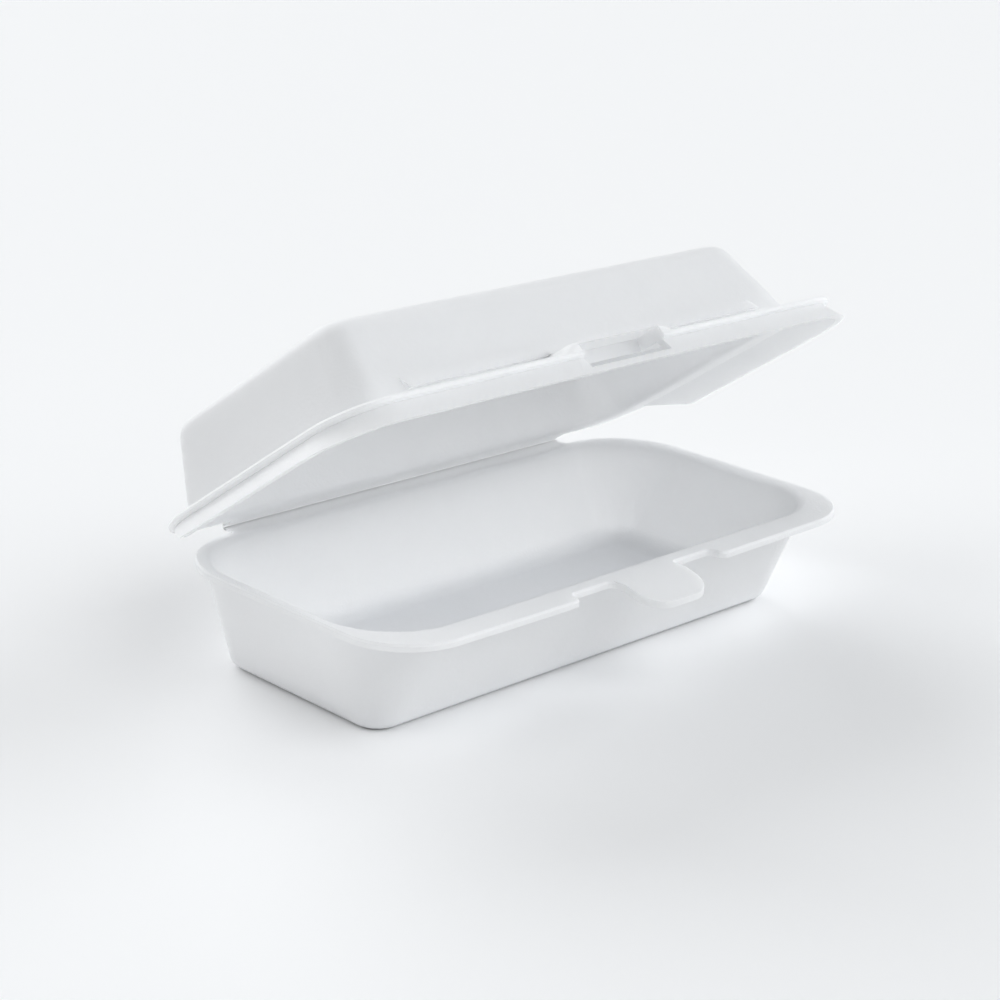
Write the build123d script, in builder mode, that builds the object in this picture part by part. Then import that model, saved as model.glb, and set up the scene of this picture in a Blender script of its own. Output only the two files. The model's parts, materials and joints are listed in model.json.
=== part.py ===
"""Foam clamshell container: a drafted tray and a domed lid that fold about one crease.

The origin is the middle of the tray's underside, with the crease along X at the back, the locking
tab at the front (-Y) and +Z up. The lid stands part open.
"""

import os
from math import cos, hypot, pi, radians, sin

from build123d import *

# Foam sheet, in millimetres
sheet = 2.4  # formed wall
crease_sheet = 0.9  # wall pressed thin beside the crease
crease_gap = 0.3  # clearance between the closed rims and beside the crease
edge_bevel = 0.7  # along the cut edges of rim and ledge
round_steps = 4  # bands in each rounding between a flat and a wall

# Tray
floor_length = 196.5
floor_depth = 80.0
floor_radius = 9.0
tray_height = 40.6
rim_length = 227.0
rim_front = 68.1  # front corners of the rim, ahead of the middle of the floor
rim_bow = 1.5  # outward bow of the front edges of rim and lid
rim_front_radius = 26.0
rim_rear_radius = 31.0
side_overhang = 2.0
front_overhang = 9.0
rear_overhang = 3.0
mouth_radius = 30.0
mouth_round = 2.2  # rounding of the rim into the inside of the tray
underside_round = 3.5
floor_round = 6.0  # rounding of the floor into the walls, inside

# Crease
crease_back = 59.9  # behind the middle of the floor
crease_length = 164.0
crease_strip = 5.0  # width of the pressed strip on each side of the crease

# Locking tab
tab_width = 29.0
tab_reach = 14.0
tab_droop = 3.4
tab_radius = 9.0
notch_width = 20.0
notch_depth = 6.0
notch_radius = 2.6
notch_lip_radius = 3.0  # where each notch opens into the rim's front edge

# Lid, measured from the crease
opening = 34.0  # degrees from closed
lid_height = 36.2
lid_side_foot = 106.0
lid_side_top = 95.9
lid_front_foot = 121.7
lid_front_top = 109.4
lid_rear_foot = 8.0
lid_rear_top = 10.5
lid_foot_radius = 11.0
lid_top_radius = 9.0
lid_top_round = 4.8
lid_foot_round = 1.0  # rounding of the dome into the ledge
brow_level = 5.9  # underside of the brow along the front of the dome, above the crease
brow_rise = 5.0
brow_reach = 2.6  # how far it stands out over the neck below it
brow_length = 166.0
rim_clearance = 0.5  # skirt to the rim of the tray
skirt_drop = 6.4
skirt_side_flare = 7.1
skirt_front_flare = 3.9
skirt_corner_radius = 21.0
ledge_bead = 1.6  # how far the ledge stands out over the head of the skirt
ledge_side_margin = 4.9  # ledge's head of skirt beyond the end of the rim
ear_run = 14.0  # stretch over which the skirt dies out round the rear corners

# Locking slot
slot_clearance = 4.5  # tab to slot on each side
slot_strip = 2.3  # strip of skirt left below the slot
hood_height = 6.0  # above the crease
hood_sheet = 1.2  # roof of the hood, drawn thin
hood_border = 3.2
hood_flank = 8.0  # run of the ramp at each end
hood_lean = 1.4
hood_round = 1.8
hood_corner = 4.0  # corners of the hood in plan

# Worked out
side_run = rim_length / 2 - side_overhang - floor_length / 2
front_run = rim_front - front_overhang - floor_depth / 2
rim_back = crease_back - crease_strip
rear_run = rim_back - rear_overhang - floor_depth / 2
seat = crease_gap / 2  # underside of the ledge, above the crease
lid_plane = Plane(
    origin=(0, crease_back, tray_height + seat),
    x_dir=(1, 0, 0),
    z_dir=(0, sin(radians(opening)), cos(radians(opening))),
)


def slant(run, rise):
    """Level width of a wall that leans by run over rise, for each unit of its thickness."""
    return hypot(run, rise) / rise


def rounding(radius):
    """Rise and inset of the bands of a quarter round, from the flat out to the wall."""
    turns = [pi / 2 * step / round_steps for step in range(round_steps + 1)]
    return [(radius * (1 - cos(turn)), radius * (1 - sin(turn))) for turn in turns]


def tray_section(level, skin=0.0):
    """Level section of the tray's wall, skin inside its outer face."""
    share = level / tray_height
    side = floor_length / 2 + share * side_run - skin * slant(side_run, tray_height)
    front = floor_depth / 2 + share * front_run - skin * slant(front_run, tray_height)
    rear = floor_depth / 2 + share * rear_run - skin * slant(rear_run, tray_height)
    radius = floor_radius + share * (mouth_radius - floor_radius) - skin
    with Locations((0, (rear - front) / 2)):
        RectangleRounded(2 * side, front + rear, radius)


def dome_front(level):
    """Reach of the dome's front wall at a height above the crease."""
    return lid_front_foot + (level - seat) / (lid_height - seat) * (lid_front_top - lid_front_foot)


def lid_section(level, skin=0.0):
    """Section of the dome at a height above the crease, skin inside its outer face."""
    rise = lid_height - seat
    share = (level - seat) / rise
    side = lid_side_foot + share * (lid_side_top - lid_side_foot)
    front = dome_front(level)
    rear = lid_rear_foot + share * (lid_rear_top - lid_rear_foot)
    side -= skin * slant(lid_side_foot - lid_side_top, rise)
    front -= skin * slant(lid_front_foot - lid_front_top, rise)
    rear += skin * slant(lid_rear_top - lid_rear_foot, rise)
    radius = lid_foot_radius + share * (lid_top_radius - lid_foot_radius) - skin
    with Locations((0, -(front + rear) / 2)):
        RectangleRounded(2 * side, front - rear, radius)


def bowed_outline(half, front, back, front_radius, back_radius):
    """Flat outline with a bowed front edge and rounded corners; front and back are taken from y = 0."""
    with BuildSketch() as outline:
        with BuildLine():
            edge = ThreePointArc((-half, -front), (0, -front - rim_bow), (half, -front))
            Polyline(edge @ 1, (half, back), (-half, back), edge @ 0)
        make_face()
        fillet(outline.vertices().group_by(Axis.Y)[0], front_radius)
        fillet(outline.vertices().group_by(Axis.Y)[-1], back_radius)
    return outline.sketch


# Inside of the tray
with BuildPart() as tray_hollow:
    for rise, inset in rounding(floor_round):
        with BuildSketch(Plane.XY.offset(sheet + rise)):
            tray_section(sheet + rise, sheet + inset)
    for rise, inset in reversed(rounding(mouth_round)):
        with BuildSketch(Plane.XY.offset(tray_height - rise)):
            tray_section(tray_height - rise, sheet - inset)
    loft(ruled=True)

# Tab: a tongue that droops from the rim, rounded in plan
rim_middle = rim_front + rim_bow
with BuildPart() as tab:
    with BuildSketch(Plane.YZ):
        with BuildLine():
            Polyline(
                (-rim_middle + 2 * notch_depth, tray_height),
                (-rim_middle, tray_height),
                (-rim_middle - tab_reach, tray_height - tab_droop),
                (-rim_middle - tab_reach, tray_height - tab_droop - sheet),
                (-rim_middle, tray_height - sheet),
                (-rim_middle + 2 * notch_depth, tray_height - sheet),
                close=True,
            )
        make_face()
    extrude(amount=tab_width / 2, both=True)
    with BuildSketch():
        with Locations((0, -rim_middle)):
            RectangleRounded(tab_width, 2 * tab_reach, tab_radius)
        with Locations((0, -rim_middle + notch_depth)):
            Rectangle(tab_width, 2 * notch_depth)
    extrude(amount=2 * tray_height, mode=Mode.INTERSECT)

# Body of the tray, still solid
with BuildPart() as tray_body:
    for rise, inset in rounding(underside_round):
        with BuildSketch(Plane.XY.offset(rise)):
            tray_section(rise, inset)
    with BuildSketch(Plane.XY.offset(tray_height)):
        tray_section(tray_height)
    loft(ruled=True)

# Tray
with BuildPart() as base_tray:
    with BuildSketch(Plane.XY.offset(tray_height - sheet)) as rim:
        add(bowed_outline(rim_length / 2, rim_front, rim_back, rim_front_radius, rim_rear_radius))
        with Locations((0, -rim_middle)), GridLocations(tab_width + notch_width, 0, 2, 1):
            RectangleRounded(notch_width, 2 * notch_depth, notch_radius, mode=Mode.SUBTRACT)
        notch_end = tab_width / 2 + notch_width
        lips = [rim.vertices().sort_by_distance((end, -rim_middle))[0] for end in (-notch_end, notch_end)]
        fillet(lips, notch_lip_radius)
    extrude(amount=sheet)
    chamfer(base_tray.faces().sort_by(Axis.Z)[-1].edges(), edge_bevel)
    add(tray_body.part)
    with BuildSketch(Plane.XY.offset(tray_height - crease_sheet)):
        with Locations((0, crease_back - crease_gap)):
            Rectangle(crease_length, crease_strip + rear_overhang, align=(Align.CENTER, Align.MAX))
    extrude(amount=crease_sheet)
    add(tab.part)
    add(tray_hollow.part, mode=Mode.SUBTRACT)

# Inside of the dome
with BuildPart() as lid_hollow:
    for rise, inset in rounding(mouth_round):
        with BuildSketch(lid_plane.offset(seat + rise)):
            lid_section(seat + rise, sheet - inset)
    for rise, inset in reversed(rounding(lid_top_round - sheet)):
        with BuildSketch(lid_plane.offset(lid_height - sheet - rise)):
            lid_section(lid_height - sheet - rise, sheet + inset)
    loft(ruled=True)

# Dome, which stands on the ledge
with BuildPart() as dome:
    for rise, inset in rounding(lid_foot_round):
        with BuildSketch(lid_plane.offset(seat + sheet + rise)):
            lid_section(seat + sheet + rise, -inset)
    for rise, inset in reversed(rounding(lid_top_round)):
        with BuildSketch(lid_plane.offset(lid_height - rise)):
            lid_section(lid_height - rise, inset)
    loft(ruled=True)

# Brow: a wedge that stands out from the foot of the dome's front, over a shadowed neck
lid_side_view = Plane(lid_plane.origin, x_dir=lid_plane.y_dir, z_dir=lid_plane.x_dir)
brow_top = brow_level + brow_rise
with BuildPart() as brow:
    with BuildSketch(lid_side_view):
        with BuildLine():
            Polyline(
                (-dome_front(brow_level) - brow_reach, brow_level),
                (-dome_front(brow_top), brow_top),
                (-lid_front_top, brow_top),
                (-lid_front_top, brow_level),
                close=True,
            )
        make_face()
    extrude(amount=brow_length / 2, both=True)

# Skirt: a flared band under the ledge, which dies out round the rear corners
rim_reach = crease_back + rim_front
skirt_rise = skirt_drop + seat
head_side = rim_length / 2 + ledge_side_margin
head_front = rim_reach + rim_clearance + sheet * slant(skirt_front_flare, skirt_rise)


def skirt_section(level, skin=0.0):
    """Section of the skirt at a height above the crease, skin inside its outer face."""
    share = (seat - level) / skirt_rise
    half = head_side + share * skirt_side_flare - skin * slant(skirt_side_flare, skirt_rise)
    front = head_front + share * skirt_front_flare - skin * slant(skirt_front_flare, skirt_rise)
    margin = half - rim_length / 2
    radius = skirt_corner_radius + share * (skirt_side_flare + skirt_front_flare) / 2 - skin
    return bowed_outline(half, front, margin - crease_strip, radius, rim_rear_radius + margin)


with BuildPart() as skirt_hollow:
    with BuildSketch(lid_plane.offset(seat)):
        add(skirt_section(seat, sheet))
    with BuildSketch(lid_plane.offset(-skirt_drop)):
        add(skirt_section(-skirt_drop, sheet))
    loft(ruled=True)

with BuildPart() as skirt:
    with BuildSketch(lid_plane.offset(seat)):
        add(skirt_section(seat))
    with BuildSketch(lid_plane.offset(-skirt_drop)):
        add(skirt_section(-skirt_drop))
    loft(ruled=True)
    add(skirt_hollow.part, mode=Mode.SUBTRACT)
    ear_start = crease_strip + rim_rear_radius
    with BuildSketch(lid_side_view):
        with BuildLine():
            Polyline(
                (-ear_start, -skirt_drop),
                (ear_run - ear_start, seat),
                (ear_start, seat),
                (ear_start, -skirt_drop),
                close=True,
            )
        make_face()
    extrude(amount=head_side + skirt_side_flare, both=True, mode=Mode.SUBTRACT)

# Hood over the locking slot
slot_width = tab_width + 2 * slot_clearance
slot_floor = slot_strip - skirt_drop
ledge_front = head_front + ledge_bead


def hood_section(level, inset=0.0):
    """Section of the hood at a height above the crease, reaching back into the dome."""
    share = (level - seat) / (hood_height - seat)
    front = ledge_front + rim_bow - hood_lean * share - inset
    width = slot_width + 2 * (hood_border + hood_flank * (1 - share) - inset)
    with Locations((0, -front)):
        RectangleRounded(width, front - lid_front_top, hood_corner - inset, align=(Align.CENTER, Align.MIN))


with BuildPart() as hood:
    with BuildSketch(lid_plane.offset(seat + edge_bevel)):
        hood_section(seat + edge_bevel)
    for rise, inset in reversed(rounding(hood_round)):
        with BuildSketch(lid_plane.offset(hood_height - rise)):
            hood_section(hood_height - rise, inset)
    loft(ruled=True)

# Lid
forward = Axis(lid_plane.origin, -lid_plane.y_dir)
upward = Axis(lid_plane.origin, lid_plane.z_dir)
with BuildPart() as lid:
    ledge_margin = ledge_side_margin + ledge_bead
    ledge_back = ledge_margin - crease_strip
    rear_radius = rim_rear_radius + ledge_margin
    with BuildSketch(lid_plane.offset(seat)):
        add(bowed_outline(head_side + ledge_bead, ledge_front, ledge_back, skirt_corner_radius, rear_radius))
        with Locations((0, -crease_strip)):
            Rectangle(rim_length, rear_radius, align=(Align.CENTER, Align.MIN), mode=Mode.SUBTRACT)
    extrude(amount=sheet)
    ledge_edges = lid.faces().sort_by(upward)[-1].edges() + lid.faces().sort_by(upward)[0].edges()
    chamfer(ledge_edges.filter_by_position(forward, crease_strip, ledge_front + rim_bow), edge_bevel)
    add(skirt.part)
    with BuildSketch(lid_plane.offset(seat)):
        with Locations((0, -crease_gap)):
            Rectangle(crease_length, 2 * crease_strip, align=(Align.CENTER, Align.MAX))
    extrude(amount=crease_sheet)
    add(dome.part)
    add(brow.part)
    add(hood.part)
    with BuildSketch(lid_plane.offset(slot_floor)):
        with Locations((0, -lid_front_foot)):
            Rectangle(slot_width, tab_reach + ledge_front - lid_front_foot, align=(Align.CENTER, Align.MAX))
    extrude(amount=hood_height - hood_sheet - slot_floor, mode=Mode.SUBTRACT)
    add(lid_hollow.part, mode=Mode.SUBTRACT)

base_tray.part.label = "base_tray"
lid.part.label = "lid"

os.makedirs("parts", exist_ok=True)
export_step(base_tray.part, "parts/base_tray.step")
export_step(lid.part, "parts/lid.step")
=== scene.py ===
"""A foam clamshell container, part open on a pale floor, in plain soft studio light."""

import json
from math import cos, radians, sin

import bmesh
import bpy
from mathutils import Matrix, Vector


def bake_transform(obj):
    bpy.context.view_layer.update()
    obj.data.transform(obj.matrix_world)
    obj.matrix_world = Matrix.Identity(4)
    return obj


MM = 0.001

# Camera, fitted to the photograph
LENS = 85.3  # mm
SENSOR = 36.0  # mm
AZIMUTH = radians(44.27)  # the camera stands at the front left
ELEVATION = radians(18.75)
ROLL = radians(1.68)
DISTANCE = 856.8 * MM
TARGET = Vector((9.26, 15.6, 42.8)) * MM

# Hinge web, the strip of sheet that bends along the crease
CREASE_LENGTH = 164.0 * MM
CREASE_SHEET = 0.9 * MM  # thickness of the pressed strips that it joins
CREASE_GAP = 0.3 * MM  # from the end of each strip to the crease
WEB_SHEET = 0.6 * MM
WEB_OVERLAP = 1.2 * MM  # how far it runs inside each strip
WEB_STEPS = 12

# Surface of the foam
CELL = 0.9 * MM
CELL_DEPTH = 0.05 * MM
DIMPLE = 7.0 * MM
DIMPLE_DEPTH = 0.12 * MM
CLOUD = 4 * DIMPLE
TINTS = (0.3, (0.915, 0.925, 0.94, 1)), (0.7, (0.94, 0.945, 0.955, 1))  # place on the ramp, colour
ROUGHNESS = 0.42, 0.62
SPECULAR = 0.4
SCATTER = 9.0 * MM  # more than the sheet, so that light comes through it
SCATTER_WEIGHT = 0.9
GROUNDED = 2.0 * MM, 9.0 * MM  # heights between which scatter sets in, as the tray's floor lets none through
SHARP_ANGLE = radians(32)
WELD = 0.002 * MM

# Studio
FLOOR_SIZE = 12.0
FLOOR_COLOUR = (0.96, 0.96, 0.96, 1)
SURROUND = (0.92, 0.96, 1.0, 1)
SURROUND_STRENGTH = 0.08
LIGHTS = (  # name, azimuth, elevation, strength, spread, colour
    ("back", 172, 28, 1.75, 50, (0.97, 0.985, 1.0)),
    ("right", 68, 22, 1.65, 60, (0.96, 0.98, 1.0)),
    ("front", 5, 43, 1.25, 50, (0.97, 0.985, 1.0)),
    ("left", -122, 36, 0.85, 50, (0.99, 0.995, 1.0)),
)

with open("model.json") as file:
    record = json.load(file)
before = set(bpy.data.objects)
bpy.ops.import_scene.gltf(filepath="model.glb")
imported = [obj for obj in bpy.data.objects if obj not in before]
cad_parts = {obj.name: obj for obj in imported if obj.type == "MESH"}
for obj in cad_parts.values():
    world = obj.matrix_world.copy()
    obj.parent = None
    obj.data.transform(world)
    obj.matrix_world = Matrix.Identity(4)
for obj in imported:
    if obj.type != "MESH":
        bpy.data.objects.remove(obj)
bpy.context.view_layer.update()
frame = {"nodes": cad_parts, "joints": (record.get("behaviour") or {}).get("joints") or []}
hinge = frame["joints"][0]
hinge_point = Vector(hinge["pos_m"])
lid_angle = -radians(hinge["range_deg"][0])  # the lid's opening at rest
lid_up = Vector((0, sin(lid_angle), cos(lid_angle)))
lid_back = Vector((0, cos(lid_angle), -sin(lid_angle)))


def link(tree, source, target):
    """Joins two node sockets."""
    tree.links.new(source, target)


def node(tree, kind, **settings):
    """A node with some of its properties or input sockets set by name."""
    made = tree.nodes.new(kind)
    for name, value in settings.items():
        if hasattr(made, name):
            setattr(made, name, value)
        else:
            made.inputs[name.replace("_", " ")].default_value = value
    return made


def foam(name):
    """White closed-cell foam: a satin skin of fine cells over shallow dimples, and translucent."""
    material = bpy.data.materials.new(name)
    material.use_nodes = True
    tree = material.node_tree
    shader = tree.nodes["Principled BSDF"]
    shader.inputs["Subsurface Radius"].default_value = (1.0, 1.0, 1.0)
    shader.inputs["Subsurface Scale"].default_value = SCATTER
    shader.inputs["Specular IOR Level"].default_value = SPECULAR

    place = node(tree, "ShaderNodeTexCoord").outputs["Object"]
    cells = node(tree, "ShaderNodeTexVoronoi", feature="SMOOTH_F1", Scale=1 / CELL, Smoothness=0.6)
    dimples = node(tree, "ShaderNodeTexNoise", Scale=1 / DIMPLE, Detail=2.0, Roughness=0.45)
    clouds = node(tree, "ShaderNodeTexNoise", Scale=1 / CLOUD, Detail=3.0)
    for texture in (cells, dimples, clouds):
        link(tree, place, texture.inputs["Vector"])

    height = node(tree, "ShaderNodeSeparateXYZ")
    link(tree, place, height.inputs["Vector"])
    low, high = GROUNDED
    through = node(tree, "ShaderNodeMapRange", From_Min=low, From_Max=high, To_Max=SCATTER_WEIGHT)
    link(tree, height.outputs["Z"], through.inputs["Value"])
    link(tree, through.outputs["Result"], shader.inputs["Subsurface Weight"])

    tint = node(tree, "ShaderNodeValToRGB")
    for stop, (position, colour) in zip(tint.color_ramp.elements, TINTS):
        stop.position = position
        stop.color = colour
    link(tree, clouds.outputs["Fac"], tint.inputs["Fac"])
    link(tree, tint.outputs["Color"], shader.inputs["Base Color"])

    gloss = node(tree, "ShaderNodeMapRange", To_Min=ROUGHNESS[0], To_Max=ROUGHNESS[1])
    link(tree, cells.outputs["Distance"], gloss.inputs["Value"])
    link(tree, gloss.outputs["Result"], shader.inputs["Roughness"])

    skin = node(tree, "ShaderNodeBump", Strength=1.0, Distance=CELL_DEPTH, invert=True)
    link(tree, cells.outputs["Distance"], skin.inputs["Height"])
    relief = node(tree, "ShaderNodeBump", Strength=1.0, Distance=DIMPLE_DEPTH)
    link(tree, dimples.outputs["Fac"], relief.inputs["Height"])
    link(tree, skin.outputs["Normal"], relief.inputs["Normal"])
    link(tree, relief.outputs["Normal"], shader.inputs["Normal"])
    return material


def smooth_shading():
    """Geometry nodes that shade a mesh smooth, except across edges sharper than SHARP_ANGLE."""
    group = bpy.data.node_groups.new("smooth_shading", "GeometryNodeTree")
    group.interface.new_socket("Geometry", in_out="INPUT", socket_type="NodeSocketGeometry")
    group.interface.new_socket("Geometry", in_out="OUTPUT", socket_type="NodeSocketGeometry")
    faces = node(group, "GeometryNodeSetShadeSmooth", domain="FACE")
    edges = node(group, "GeometryNodeSetShadeSmooth", domain="EDGE")
    angle = node(group, "GeometryNodeInputMeshEdgeAngle")
    soft = node(group, "FunctionNodeCompare", operation="LESS_THAN")
    soft.inputs["B"].default_value = SHARP_ANGLE
    link(group, node(group, "NodeGroupInput").outputs["Geometry"], faces.inputs["Geometry"])
    link(group, faces.outputs["Geometry"], edges.inputs["Geometry"])
    link(group, angle.outputs["Unsigned Angle"], soft.inputs["A"])
    link(group, soft.outputs["Result"], edges.inputs["Shade Smooth"])
    link(group, edges.outputs["Geometry"], node(group, "NodeGroupOutput").inputs["Geometry"])
    return group


def soften(piece, shading):
    """Shades a CAD node smooth over its roundings and keeps its flats flat."""
    weld = piece.modifiers.new("weld", "WELD")
    weld.merge_threshold = WELD
    piece.modifiers.new("shading", "NODES").node_group = shading
    normals = piece.modifiers.new("normals", "WEIGHTED_NORMAL")
    normals.keep_sharp = True


def hinge_web():
    """The bent strip between the ends of the tray's and the lid's pressed strips."""
    drop = CREASE_GAP / 2 + CREASE_SHEET / 2  # from the crease to the middle of each strip
    tray_end = hinge_point + Vector((0, -CREASE_GAP, -drop))
    lid_end = hinge_point - CREASE_GAP * lid_back + drop * lid_up
    tray_root = tray_end - Vector((0, WEB_OVERLAP, 0))
    lid_root = lid_end - WEB_OVERLAP * lid_back
    bulge = 2 * (tray_end - tray_root) / 3 + tray_end, 2 * (lid_end - lid_root) / 3 + lid_end
    line = [tray_root, tray_end]
    for step in range(1, WEB_STEPS):
        t = step / WEB_STEPS
        a, b, c = tray_end.lerp(bulge[0], t), bulge[0].lerp(bulge[1], t), bulge[1].lerp(lid_end, t)
        line.append(a.lerp(b, t).lerp(b.lerp(c, t), t))
    line += [lid_end, lid_root]

    mesh = bmesh.new()
    left, right = Vector((-CREASE_LENGTH / 2, 0, 0)), Vector((CREASE_LENGTH / 2, 0, 0))
    rows = []
    for index, point in enumerate(line):
        along = line[min(index + 1, len(line) - 1)] - line[max(index - 1, 0)]
        across = Vector((0, -along.z, along.y)).normalized() * WEB_SHEET / 2
        corners = point + across + left, point + across + right, point - across + right, point - across + left
        rows.append([mesh.verts.new(corner) for corner in corners])
    for low, high in zip(rows, rows[1:]):
        for side in range(4):
            following = (side + 1) % 4
            mesh.faces.new((low[side], low[following], high[following], high[side]))
    mesh.faces.new(reversed(rows[0]))
    mesh.faces.new(rows[-1])
    bmesh.ops.recalc_face_normals(mesh, faces=mesh.faces)
    data = bpy.data.meshes.new("hinge_web")
    mesh.to_mesh(data)
    mesh.free()
    web = bpy.data.objects.new("hinge_web", data)
    bpy.context.scene.collection.objects.link(web)
    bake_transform(web)
    return web


def floor():
    """A wide pale floor."""
    material = bpy.data.materials.new("floor")
    material.use_nodes = True
    shader = material.node_tree.nodes["Principled BSDF"]
    shader.inputs["Roughness"].default_value = 0.9
    shader.inputs["Specular IOR Level"].default_value = 0.1
    shader.inputs["Base Color"].default_value = FLOOR_COLOUR
    bpy.ops.mesh.primitive_plane_add(size=FLOOR_SIZE)
    plane = bpy.context.object
    plane.name = "floor"
    plane.data.materials.append(material)


def distant(name, azimuth, elevation, strength, spread, colour):
    """A wide distant light, even over the whole floor. Azimuth 0 is the front, and 90 the right."""
    data = bpy.data.lights.new(name, "SUN")
    data.energy = strength
    data.angle = radians(spread)
    data.color = colour
    lamp = bpy.data.objects.new(name, data)
    turn, rise = radians(azimuth), radians(elevation)
    towards = Vector((sin(turn) * cos(rise), -cos(turn) * cos(rise), sin(rise)))
    lamp.rotation_euler = towards.to_track_quat("Z", "Y").to_euler()
    bpy.context.scene.collection.objects.link(lamp)


def studio():
    """A faint surround and four wide lights; the one from behind shines through the foam."""
    scene = bpy.context.scene
    world = bpy.data.worlds.new("studio")
    world.use_nodes = True
    surround = world.node_tree.nodes["Background"]
    surround.inputs["Color"].default_value = SURROUND
    surround.inputs["Strength"].default_value = SURROUND_STRENGTH
    scene.world = world
    for light in LIGHTS:
        distant(*light)
    scene.view_settings.view_transform = "Standard"


def camera():
    """The photograph's view."""
    back = Vector((-sin(AZIMUTH) * cos(ELEVATION), -cos(AZIMUTH) * cos(ELEVATION), sin(ELEVATION)))
    right = Vector((cos(AZIMUTH), -sin(AZIMUTH), 0))
    up = back.cross(right)
    data = bpy.data.cameras.new("camera")
    data.lens = LENS
    data.sensor_width = SENSOR
    eye = bpy.data.objects.new("camera", data)
    turned = right * cos(ROLL) + up * sin(ROLL), up * cos(ROLL) - right * sin(ROLL), back
    eye.matrix_world = Matrix.Translation(TARGET + back * DISTANCE) @ Matrix(turned).transposed().to_4x4()
    bpy.context.scene.collection.objects.link(eye)
    bpy.context.scene.camera = eye


white_foam = foam("foam")
shading = smooth_shading()
for cad_node in frame["nodes"].values():
    cad_node.data.materials.clear()
    cad_node.data.materials.append(white_foam)
    soften(cad_node, shading)
hinge_web().data.materials.append(white_foam)
floor()
studio()
camera()
